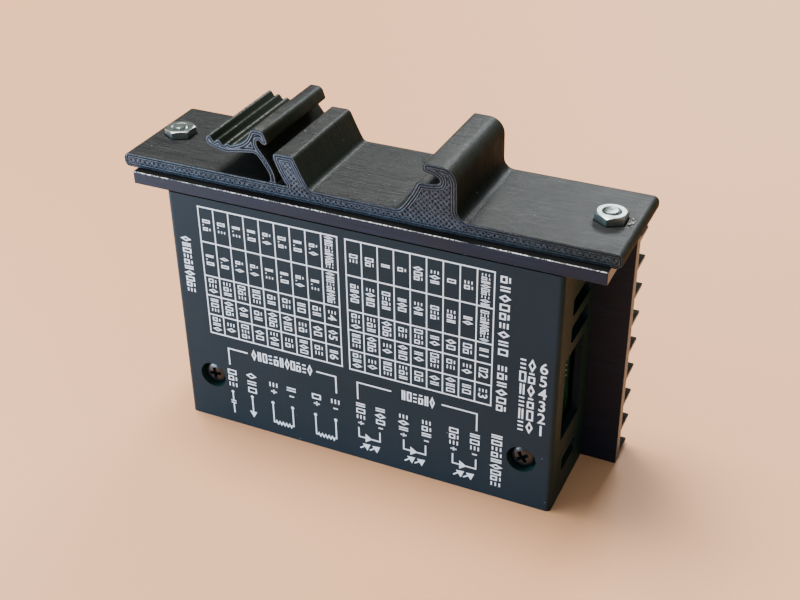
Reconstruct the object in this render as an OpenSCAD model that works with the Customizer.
// Stepper motor driver module on a printed clip for a 35 mm mounting rail.
// X runs along the module, Y from the label face (-Y) to the fins (+Y), Z is up.
// The origin is the middle of the footprint, on the surface that the module stands on.

/* [Heat sink] */
// Length of the extrusion, and of the module
sink_l = 96; // [90:1:110]
// Height of the extrusion, up to the top of its flange
sink_h = 56; // [54:1:60]
// Thickness of the upright plate
plate_t = 2.5; // [2:0.1:3.5]
// Thickness of the top flange
flange_t = 2.6; // [2:0.1:3]
// Height of the fins behind the plate
fin_h = 5.1; // [3:0.1:12]
// Thickness of a fin at its root
fin_root_t = 1.0; // [0.8:0.1:1.4]
// Thickness of a fin at its tip
fin_tip_t = 0.7; // [0.5:0.1:1]
// Number of fins
fin_count = 9; // [5:1:9]
// Distance from one fin to the next
fin_pitch = 6.28; // [5.5:0.01:6.7]

/* [Cover] */
// Length of the moulded cover
cover_l = 81.2; // [78:0.2:82]
// Depth of the cover, from the label face to the plate
cover_d = 19.4; // [19:0.1:24]
// Thickness of the cover's walls
wall_t = 1.6; // [1.2:0.1:2]
// Radius of the cover's upright front edges
cover_r = 1.0; // [0.5:0.1:1.5]
// Seam between the cover and the flange
seam = 0.15; // [0.1:0.05:0.3]
// Diameter of the screw recesses in the label face
recess_d = 5.9; // [5.7:0.1:6.5]
// Distance of the cover screws from the middle
screw_x = 34.3; // [34:0.1:35]
// Height of the cover screws
screw_z = 11.1; // [10.8:0.1:11.4]

/* [Circuit board] */
// Thickness of the board
board_t = 1.6; // [1:0.1:2]
// Gap between the board and the plate
board_gap = 3.4; // [3:0.1:4]
// Distance from one terminal to the next
pin_pitch = 5.0; // [4.8:0.01:5.0]
// Terminals in each header
pin_count = 6; // [4:1:6]

/* [Switch block] */
// Number of sliding levers
lever_count = 6; // [6:1:6]
// Distance from one lever to the next
lever_pitch = 2.54; // [2.5:0.01:2.54]
// Travel of a lever
lever_travel = 1.4; // [1:0.1:1.5]

/* [Rail clip] */
// Length of the clip's plate
clip_l = 100.8; // [98:0.2:101]
// Width of the clip
clip_w = 23; // [20:0.5:25]
// Thickness of the clip's plate
clip_t = 2.8; // [2.4:0.1:3.2]
// Offset of the clip from the middle of the module
clip_x = -0.5; // [-0.6:0.1:0.6]
// Height from the plate's underside to the rail seat
seat_h = 9.0; // [9:0.1:9]
// Distance of the clip bolts from the middle of the clip
bolt_x = 44.75; // [44:0.05:45]
// Width across the flats of the clip nuts
nut_af = 5.5; // [5.5:0.1:5.5]
// Depth of the pockets that the clip nuts sit in
pocket_depth = 0.8; // [0.5:0.1:1]

/* [Hidden] */
$fn = 48;
eps = 0.01;
depth = cover_d + plate_t + fin_h;
front_y = -depth / 2;
cover_h = sink_h - flange_t - seam;
inner_l = cover_l - 2 * wall_t;
top_wall = 1.2;
board_y = cover_d - board_gap - board_t;
board_back = board_y + board_t;
board_x0 = -38.4;
board_x1 = 38.1;
board_z0 = 1.8;
board_z1 = 51.6;
upper_z = 47.9;
m3_d = 2.95;
m3_thread_d = 3.0;
m3_clear_d = 3.4;
head_d = 5.5;
head_h = 1.8;
head_y = 0.6;
recess_depth = head_y + head_h;
boss_d = 5.8;
boss_rim_d = 7.6;
boss_rim_y = 3.6;
header_l = pin_count * pin_pitch;
header_h = 12;
header_w = 8.4;
header_z = 0.2;
header_y = board_y - header_w;
header_wall = 0.9;
cavity_h = 8.8;
header_gap = 0.2;
header_x0 = -31.1;
power_x = header_x0 + header_l / 2;
signal_x = power_x + header_l + header_gap;
pin_t = 1.0;
pin_tip_z = 3.1;
pin_y = header_y + header_w / 2;
pin_bend_z = header_z + header_h + 0.5;
pin_tail = 1.4;
window_clear = 0.15;
dip_z = 23.8;
dip_l = 16.4;
dip_w = 9.8;
dip_x0 = 31.4;
dip_face_x = 37.3;
lever_t = 1.14;
lever_w = 1.5;
lever_proud = 1.0;
slot_fit = 0.08;
slot_depth = 1.9;
slot_end = 0.2;
slot_y = board_y - 5.0;
led_z = 6.3;
led_r = 1.5;
led_tip_x = 38.6;
chip_x = 4;
chip_z = 30;
chip_top = board_back + 1.2;
clip_y = 1.93;
bolt_y = clip_y + clip_w / 2;
plate_z = sink_h + clip_t;
seat_z = sink_h + seat_h;
nut_h = 2.4;
nut_z = plate_z - pocket_depth;
washer_t = 0.8;
bolt_l = 8;
bolt_head_h = 2.0;
hinge = [-16.9, plate_z + 0.68];
root_r = 0.63;
root_overlap = 0.5;

// ---- helpers ---------------------------------------------------------------

// Moves what is drawn from the label face (y = 0) to the module's own frame.
module from_face() {
    translate([0, front_y, 0]) children();
}

// A box between two corners.
module span(low, high) {
    translate(low) cube(high - low);
}

// A cylinder along +Y from y0 to y1.
module rod_y(x, z, d, y0, y1) {
    translate([x, y0, z]) rotate([-90, 0, 0]) cylinder(d = d, h = y1 - y0);
}

// A cylinder along +X from x0 to x1.
module rod_x(y, z, d, x0, x1) {
    translate([x0, y, z]) rotate([0, 90, 0]) cylinder(d = d, h = x1 - x0);
}

// A rounded rectangle in the YZ plane, cut through an end wall along X.
module end_slot(x0, x1, low, high, r) {
    translate([x0, 0, 0]) rotate([90, 0, 90]) linear_extrude(x1 - x0) {
        translate([low[0] + r, low[1]]) square([high[0] - low[0] - 2 * r, high[1] - low[1]]);
        translate([low[0], low[1] + r]) square([high[0] - low[0], high[1] - low[1] - 2 * r]);
        for (y = [low[0] + r, high[0] - r], z = [low[1] + r, high[1] - r])
            translate([y, z]) circle(r);
    }
}

// Extrudes an XZ outline along Y over the clip's width.
module across_clip() {
    translate([clip_x, clip_y + clip_w, 0]) rotate([90, 0, 0]) linear_extrude(clip_w)
        children();
}

// Points on an arc about c, from angle a0 to angle a1, in n steps.
function arc(c, r, a0, a1, n = 6) =
    [for (i = [0:n]) let (a = a0 + (a1 - a0) * i / n) c + r * [cos(a), sin(a)]];

// Rounds a closed outline by cutting its corners n times, by no more than the given length.
function smooth(p, n = 2, cut = 0.3) = n == 0 ? p : smooth(
    [for (i = [0:len(p) - 1])
        let (a = p[i], b = p[(i + 1) % len(p)], k = min(0.25, cut / norm(b - a)))
        each [a + (b - a) * k, b - (b - a) * k]], n - 1, cut / 2);

// A crosshead recess, cut down along +Z from z = 0.
module cross_recess(w, t, h) {
    for (a = [0, 90]) rotate(a) translate([-w / 2, -t / 2, -h]) cube([w, t, h + eps]);
}

// A pan-head screw, head at z > 0 and shank down to z = -l.
module pan_screw(d, l, hd, hh) {
    difference() {
        union() {
            cylinder(d = hd, h = hh * 0.6);
            translate([0, 0, hh * 0.6]) cylinder(d1 = hd, d2 = hd * 0.66, h = hh * 0.4);
            translate([0, 0, -l]) cylinder(d = d, h = l + eps);
        }
        translate([0, 0, hh]) cross_recess(hd * 0.56, 0.9, hh * 0.65);
    }
}

// ---- heat sink and cover ---------------------------------------------------

module fin(top_z) {
    y0 = cover_d + plate_t - eps;
    half_taper = (fin_root_t - fin_tip_t) / 2;
    translate([-sink_l / 2, 0, 0]) rotate([90, 0, 90]) linear_extrude(sink_l)
        polygon([[y0, top_z - fin_root_t], [depth, top_z - fin_root_t + half_taper],
                 [depth, top_z - half_taper], [y0, top_z]]);
}

module heat_sink() {
    color("#1b191d") from_face() difference() {
        union() {
            span([-sink_l / 2, cover_d, 0], [sink_l / 2, cover_d + plate_t, sink_h]);
            span([-sink_l / 2, 0, sink_h - flange_t], [sink_l / 2, cover_d + eps, sink_h]);
            for (i = [0:fin_count - 1]) fin(1.4 + i * fin_pitch);
        }
        for (s = [-1, 1]) {
            translate([clip_x + s * bolt_x, bolt_y, sink_h - flange_t - 1])
                cylinder(d = m3_clear_d, h = flange_t + 2);
            rod_y(s * screw_x, screw_z, m3_thread_d, cover_d - 1, cover_d + plate_t + 1);
            rod_y(s * screw_x, upper_z, m3_thread_d, cover_d - 1, cover_d + plate_t + 1);
        }
    }
}

module cover_outline() {
    translate([-cover_l / 2, cover_r]) square([cover_l, cover_d - cover_r]);
    translate([-cover_l / 2 + cover_r, 0]) square([cover_l - 2 * cover_r, cover_d]);
    for (s = [-1, 1]) translate([s * (cover_l / 2 - cover_r), cover_r]) circle(cover_r);
}

module end_openings(side) {
    x0 = side > 0 ? inner_l / 2 - 1 : -cover_l / 2 - 1;
    x1 = x0 + wall_t + 2;
    end_slot(x0, x1, [6.5, 41.2], [17.1, 45.0], 0.9);
    end_slot(x0, x1, [6.5, 35.2], [17.1, 39.0], 0.9);
    end_slot(x0, x1, [5.8, 5.8], [14.6, 8.9], 0.9);
    if (side > 0) end_slot(x0, x1, [4.0, 14.6], [15.2, 33.0], 0.6);
}

module front_cover() {
    color("#2e3336") from_face() difference() {
        union() {
            difference() {
                linear_extrude(cover_h) cover_outline();
                span([-inner_l / 2, wall_t, wall_t], [inner_l / 2, cover_d + 1, cover_h - top_wall]);
            }
            for (s = [-1, 1]) {
                rod_y(s * screw_x, screw_z, boss_d, wall_t - eps, board_y);
                rod_y(s * screw_x, screw_z, boss_rim_d, wall_t - eps, boss_rim_y);
            }
        }
        for (s = [-1, 1]) {
            rod_y(s * screw_x, screw_z, recess_d, -1, recess_depth);
            rod_y(s * screw_x, screw_z, m3_clear_d, 0, board_y + 1);
        }
        end_openings(1);
        end_openings(-1);
        span([header_x0 - window_clear, header_y - window_clear, -1],
             [header_x0 + 2 * header_l + header_gap + window_clear, board_y + window_clear,
              wall_t + 1]);
    }
}

module cover_screws() {
    color("#141414") from_face() for (s = [-1, 1])
        translate([s * screw_x, recess_depth, screw_z]) rotate([90, 0, 0])
            pan_screw(m3_d, cover_d + plate_t - 0.5 - recess_depth, head_d, head_h);
}

// ---- circuit board ---------------------------------------------------------

module circuit_board() {
    color("#1d5a34") from_face() difference() {
        span([board_x0, board_y, board_z0], [board_x1, board_back, board_z1]);
        for (s = [-1, 1], z = [screw_z, upper_z])
            rod_y(s * screw_x, z, m3_clear_d, board_y - 1, board_back + 1);
        for (cx = [power_x, signal_x], i = [0:pin_count - 1])
            rod_y(cx + pin_offset(i), pin_bend_z + pin_t / 2, 1.6, board_y - 1, board_back + 1);
    }
}

module board_spacers() {
    color("#c8a552") from_face() for (s = [-1, 1], z = [screw_z, upper_z]) difference() {
        rod_y(s * screw_x, z, 5.5, board_back, cover_d);
        rod_y(s * screw_x, z, m3_clear_d - 0.2, board_back - 1, cover_d + 1);
    }
}

module board_screws() {
    color("#b9bcc0") from_face() for (s = [-1, 1])
        translate([s * screw_x, board_y, upper_z]) rotate([90, 0, 0])
            pan_screw(m3_d, board_t + board_gap + 2, head_d, 2.0);
}

// ---- headers ---------------------------------------------------------------

function pin_offset(i) = (i - (pin_count - 1) / 2) * pin_pitch;

module header_body(cx) {
    from_face() translate([cx, 0, 0]) difference() {
        span([-header_l / 2, header_y, header_z],
             [header_l / 2, board_y, header_z + header_h]);
        span([-header_l / 2 + header_wall, header_y + header_wall, header_z - 1],
             [header_l / 2 - header_wall, board_y - header_wall, header_z + cavity_h]);
        for (i = [0:pin_count - 1]) {
            span([pin_offset(i) - 1.1, header_y - 1, header_z - 1],
                 [pin_offset(i) + 1.1, header_y + header_wall + 0.1, header_z + 3.0]);
            span([pin_offset(i) - pin_t / 2, pin_y - pin_t / 2, header_z],
                 [pin_offset(i) + pin_t / 2, pin_y + pin_t / 2, header_z + header_h + 1]);
        }
    }
}

module header_pins(cx) {
    from_face() for (i = [0:pin_count - 1]) translate([cx + pin_offset(i), 0, 0]) {
        span([-pin_t / 2, pin_y - pin_t / 2, pin_tip_z],
             [pin_t / 2, pin_y + pin_t / 2, pin_bend_z + pin_t]);
        span([-pin_t / 2, pin_y - pin_t / 2, pin_bend_z],
             [pin_t / 2, board_back + pin_tail, pin_bend_z + pin_t]);
    }
}

module power_header() { color("#17181a") header_body(power_x); }
module signal_header() { color("#17181a") header_body(signal_x); }
module power_pins() { color("#cfc9b8") header_pins(power_x); }
module signal_pins() { color("#cfc9b8") header_pins(signal_x); }

// ---- switch block ----------------------------------------------------------

function lever_z(i) = dip_z + (i - (lever_count + 1) / 2) * lever_pitch;

module switch_body() {
    slot_half = (lever_w + lever_travel) / 2 + slot_end;
    color("#15171b") from_face() difference() {
        span([dip_x0, board_y - dip_w, dip_z - dip_l / 2],
             [dip_face_x, board_y, dip_z + dip_l / 2]);
        for (i = [1:lever_count])
            span([dip_face_x - slot_depth, slot_y - slot_half, lever_z(i) - lever_t / 2 - slot_fit],
                 [dip_face_x + 1, slot_y + slot_half, lever_z(i) + lever_t / 2 + slot_fit]);
    }
}

// A lever at rest is at the board's end of its slot, which is its OFF place.
module lever(i) {
    y1 = slot_y + (lever_w + lever_travel) / 2;
    color("#e9e8e2") from_face() difference() {
        span([dip_face_x - slot_depth + slot_fit, y1 - lever_w, lever_z(i) - lever_t / 2],
             [dip_face_x + lever_proud, y1, lever_z(i) + lever_t / 2]);
        span([dip_face_x + lever_proud - 0.3, y1 - lever_w + 0.45, lever_z(i) - lever_t],
             [dip_face_x + lever_proud + 1, y1 - 0.45, lever_z(i) + lever_t]);
    }
}

module lever_1() { lever(1); }
module lever_2() { lever(2); }
module lever_3() { lever(3); }
module lever_4() { lever(4); }
module lever_5() { lever(5); }
module lever_6() { lever(6); }

// ---- indicator lamps -------------------------------------------------------

// A lamp lying along X, whose leads run back and turn down to the board.
module led(y, reach) {
    base_x = 33.4;
    bend_x = base_x - reach;
    from_face() {
        rod_x(y, led_z, 2 * led_r, base_x, led_tip_x - led_r);
        translate([led_tip_x - led_r, y, led_z]) intersection() {
            sphere(led_r);
            span([0, -led_r, -led_r], [led_r, led_r, led_r]);
        }
        rod_x(y, led_z, 2 * led_r + 0.6, base_x, base_x + 0.9);
        for (s = [-1, 1]) {
            span([bend_x, y - 0.25, led_z + s * 0.9 - 0.25],
                 [base_x + eps, y + 0.25, led_z + s * 0.9 + 0.25]);
            span([bend_x, y - 0.25, led_z + s * 0.9 - 0.25],
                 [bend_x + 0.5, board_y, led_z + s * 0.9 + 0.25]);
        }
    }
}

module power_led() { color("#43c463") led(12.0, 1.2); }
module alarm_led() { color("#d4372e") led(8.2, 2.2); }

// ---- board components ------------------------------------------------------

// A chip with leads on two sides: centre, body size in X and Z, leads along X or Z.
module leaded_chip(x, z, w, h, base, top, n, pitch, reach) {
    side = top > base ? 1 : -1;
    foot = 0.15 * side;
    lift = 0.12 * side;
    low = min(base + lift, top);
    high = max(base + lift, top);
    span([x - w / 2, low, z - h / 2], [x + w / 2, high, z + h / 2]);
    for (i = [0:n - 1], s = [-1, 1]) {
        lx = x + (i - (n - 1) / 2) * pitch;
        lz = z + s * (h / 2 + reach / 2 - eps);
        span([lx - pitch * 0.22, min(base, base + foot * 3), lz - reach / 2],
             [lx + pitch * 0.22, max(base, base + foot * 3), lz + reach / 2]);
    }
}

module driver_chip() {
    color("#1d1e20") from_face()
        leaded_chip(chip_x, chip_z, 12.5, 6.1, board_back, chip_top, 24, 0.5, 1.0);
}

module thermal_pad() {
    color("#9fb3bd") from_face()
        span([chip_x - 7, chip_top, chip_z - 4.5], [chip_x + 7, cover_d, chip_z + 4.5]);
}

module capacitor(z) {
    cap_r = 5;
    x0 = -26;
    x1 = -6;
    y = board_y - cap_r - 0.2;
    from_face() {
        rod_x(y, z, 2 * cap_r, x0, x1 - 1.6);
        rod_x(y, z, 2 * cap_r - 0.9, x1 - 1.7, x1 - 0.9);
        rod_x(y, z, 2 * cap_r, x1 - 1.0, x1);
        for (s = [-1, 1]) {
            span([x1 - eps, y - 0.3, z + s * 2.5 - 0.3], [x1 + 1.4, y + 0.3, z + s * 2.5 + 0.3]);
            span([x1 + 0.8, y - 0.3, z + s * 2.5 - 0.3], [x1 + 1.4, board_y, z + s * 2.5 + 0.3]);
        }
    }
}

module capacitor_1() { color("#20242c") capacitor(44); }
module capacitor_2() { color("#20242c") capacitor(33); }

module optocouplers() {
    color("#1c1c1e") from_face() for (x = [3.5, 11.5, 19.5])
        leaded_chip(x, 19.5, 4.9, 3.9, board_y, board_y - 2.0, 4, 1.27, 1.0);
}

module logic_chip() {
    color("#1c1c1e") from_face()
        leaded_chip(15, 33, 6.5, 4.4, board_y, board_y - 1.2, 10, 0.65, 1.0);
}

module regulator() {
    color("#1c1c1e") from_face() {
        leaded_chip(2, 44, 6.5, 3.5, board_y, board_y - 1.7, 3, 2.3, 1.6);
        span([0.5, board_y - 0.45, 45.7], [3.5, board_y, 47.35]);
    }
}

module inductor() {
    color("#4a4a4c") from_face() {
        span([9, board_y - 0.8, 40], [16, board_y, 47]);
        rod_y(12.5, 43.5, 5.6, board_y - 3.6, board_y - 0.7);
        span([9, board_y - 4.2, 40], [16, board_y - 3.5, 47]);
    }
}

module input_diode() {
    color("#1c1c1e") from_face() {
        span([-31, board_y - 2.3, 18], [-24.2, board_y - 0.1, 23.9]);
        span([-32, board_y - 0.5, 19.5], [-30.9, board_y, 22.4]);
        span([-24.3, board_y - 0.5, 19.5], [-23.2, board_y, 22.4]);
    }
}

module sense_resistors() {
    color("#2b2b2d") from_face() for (z = [26, 32])
        span([-14, board_back, z], [-7.6, board_back + 0.6, z + 3.2]);
}

// ---- rail clip -------------------------------------------------------------

// The plate's ends are rounded over their whole thickness.
module clip_plate_outline() {
    half = clip_l / 2;
    z0 = sink_h;
    z1 = plate_z;
    top_r = 1.15;
    low_r = 1.0;
    polygon(concat(arc([-half + top_r, z1 - top_r], top_r, 90, 180, 8),
                   arc([-half + low_r, z0 + low_r], low_r, 180, 270, 8),
                   arc([half - low_r, z0 + low_r], low_r, 270, 360, 8),
                   arc([half - top_r, z1 - top_r], top_r, 0, 90, 8)));
}

// The fixed wedge that the rail rests on, next to the latch.
module wedge_outline() {
    z0 = plate_z;
    polygon(smooth(concat([[-14.0, z0 - root_overlap], [-14.0, z0], [-14.35, z0 + 0.4],
                    [-15.7, seat_z - 3.4], [-16.6, seat_z - 1.2]],
                   arc([-16.0, seat_z - 0.65], 0.65, 190, 90, 4),
                   arc([-13.05, seat_z - 1.1], 1.1, 90, 25, 6),
                   [[-10.75, seat_z - 3.4], [-9.95, z0 + 1.25]],
                   arc([-8.5, z0 + 1.35], 1.35, 200, 270, 6),
                   [[-8.5, z0 - root_overlap]])));
}

// The fixed hook, with its groove for the rail's far edge.
module hook_outline() {
    z0 = plate_z;
    lip = seat_z + 3.05;
    polygon(smooth(concat([[8.0, z0 - root_overlap]],
                   arc([8.0, z0 + 1.6], 1.6, 270, 325, 4),
                   [[10.1, z0 + 1.7], [11.6, seat_z - 2.1]],
                   arc([13.2, seat_z - 0.9], 0.95, 150, 95, 4),
                   [[14.4, seat_z + 0.05], [15.9, seat_z + 0.25]],
                   arc([16.15, seat_z + 0.95], 0.65, -60, 60, 5),
                   [[15.6, seat_z + 1.95], [14.6, lip - 0.85], [13.75, lip - 0.65]],
                   arc([14.3, lip + 0.15], 0.7, 210, 100, 5),
                   arc([17.0, seat_z + 0.7], 3.15, 85, 0, 10),
                   [[20.2, z0 + 2.6]],
                   arc([22.4, z0 + 2.2], 2.2, 180, 270, 8),
                   [[22.4, z0 - root_overlap]])));
}

module rail_clip() {
    color("#232526") from_face() difference() {
        union() {
            across_clip() clip_plate_outline();
            across_clip() wedge_outline();
            across_clip() hook_outline();
        }
        for (s = [-1, 1]) {
            translate([clip_x + s * bolt_x, bolt_y, sink_h - 1])
                cylinder(d = m3_clear_d, h = clip_t + 2);
            translate([clip_x + s * bolt_x, bolt_y, nut_z]) rotate(30)
                cylinder(r = (nut_af + 0.4) / sqrt(3), h = pocket_depth + 1, $fn = 6);
        }
    }
}

// The sprung arm, its hook and the ridged thumb tab, which bend at the arm's root.
module latch_outline() {
    z0 = plate_z;
    polygon(smooth(concat(
        arc([hinge[0], hinge[1]], root_r, 180, 360, 8),
        [[-16.4, z0 + 1.6], [-16.85, z0 + 2.8], [-17.7, z0 + 4.3], [-18.65, z0 + 5.6],
         [-19.4, z0 + 6.5], [-19.8, z0 + 7.3]],
        arc([-19.45, z0 + 7.75], 0.35, 200, 60, 4),
        [[-18.8, z0 + 7.5]],
        arc([-18.15, z0 + 8.0], 0.6, 240, 380, 5),
        arc([-19.1, z0 + 9.05], 1.15, 15, 85, 4),
        arc([-20.4, z0 + 9.3], 0.9, 90, 155, 3),
        [[-21.55, z0 + 8.85], [-22.15, z0 + 7.9], [-23.2, z0 + 7.05], [-24.5, z0 + 6.5]],
        ridge(-26.3, z0 + 6.5), ridge(-28.25, z0 + 6.9), ridge(-30.2, z0 + 7.4),
        arc([-30.15, z0 + 6.0], 0.8, 160, 235, 4),
        [[-28.9, z0 + 4.75], [-26.4, z0 + 4.35], [-23.2, z0 + 4.95]],
        arc([-20.9, z0 + 3.9], 1.4, 105, 50, 4),
        [[-19.1, z0 + 3.9], [-18.3, z0 + 2.7], [-17.65, z0 + 1.6]])));
}

// One finger ridge of the thumb tab, from its right foot over its crest to the left foot.
function ridge(x, z) = concat([[x + 0.6, z - 0.45]], arc([x, z - 0.5], 0.5, 40, 150, 3),
                              [[x - 0.85, z - 0.7]]);

module rail_latch() {
    color("#232526") from_face() across_clip() latch_outline();
}

module bolt_sites() {
    from_face() for (s = [-1, 1]) translate([clip_x + s * bolt_x, bolt_y, 0]) children();
}

module clip_bolts() {
    color("#b9bcc0") bolt_sites() translate([0, 0, sink_h - flange_t - washer_t])
        rotate([180, 0, 0]) pan_screw(m3_d, bolt_l, head_d, bolt_head_h);
}

module clip_washers() {
    color("#b9bcc0") bolt_sites() translate([0, 0, sink_h - flange_t - washer_t])
        difference() {
            cylinder(d = 5.4, h = washer_t);
            translate([0, 0, -1]) cylinder(d = 3.1, h = washer_t + 2);
        }
}

module clip_nuts() {
    corner_r = nut_af / sqrt(3);
    cone_r = nut_af / 2 + nut_h / tan(30);
    color("#c9cdd0") bolt_sites() translate([0, 0, nut_z]) difference() {
        intersection() {
            rotate(30) cylinder(r = corner_r, h = nut_h, $fn = 6);
            cylinder(r1 = cone_r, r2 = nut_af / 2, h = nut_h);
        }
        translate([0, 0, -1]) cylinder(d = m3_thread_d, h = nut_h + 2);
    }
}

heat_sink();
front_cover();
cover_screws();
circuit_board();
board_spacers();
board_screws();
power_header();
power_pins();
signal_header();
signal_pins();
switch_body();
lever_1();
lever_2();
lever_3();
lever_4();
lever_5();
lever_6();
power_led();
alarm_led();
driver_chip();
thermal_pad();
capacitor_1();
capacitor_2();
optocouplers();
logic_chip();
regulator();
inductor();
input_diode();
sense_resistors();
rail_clip();
rail_latch();
clip_bolts();
clip_washers();
clip_nuts();
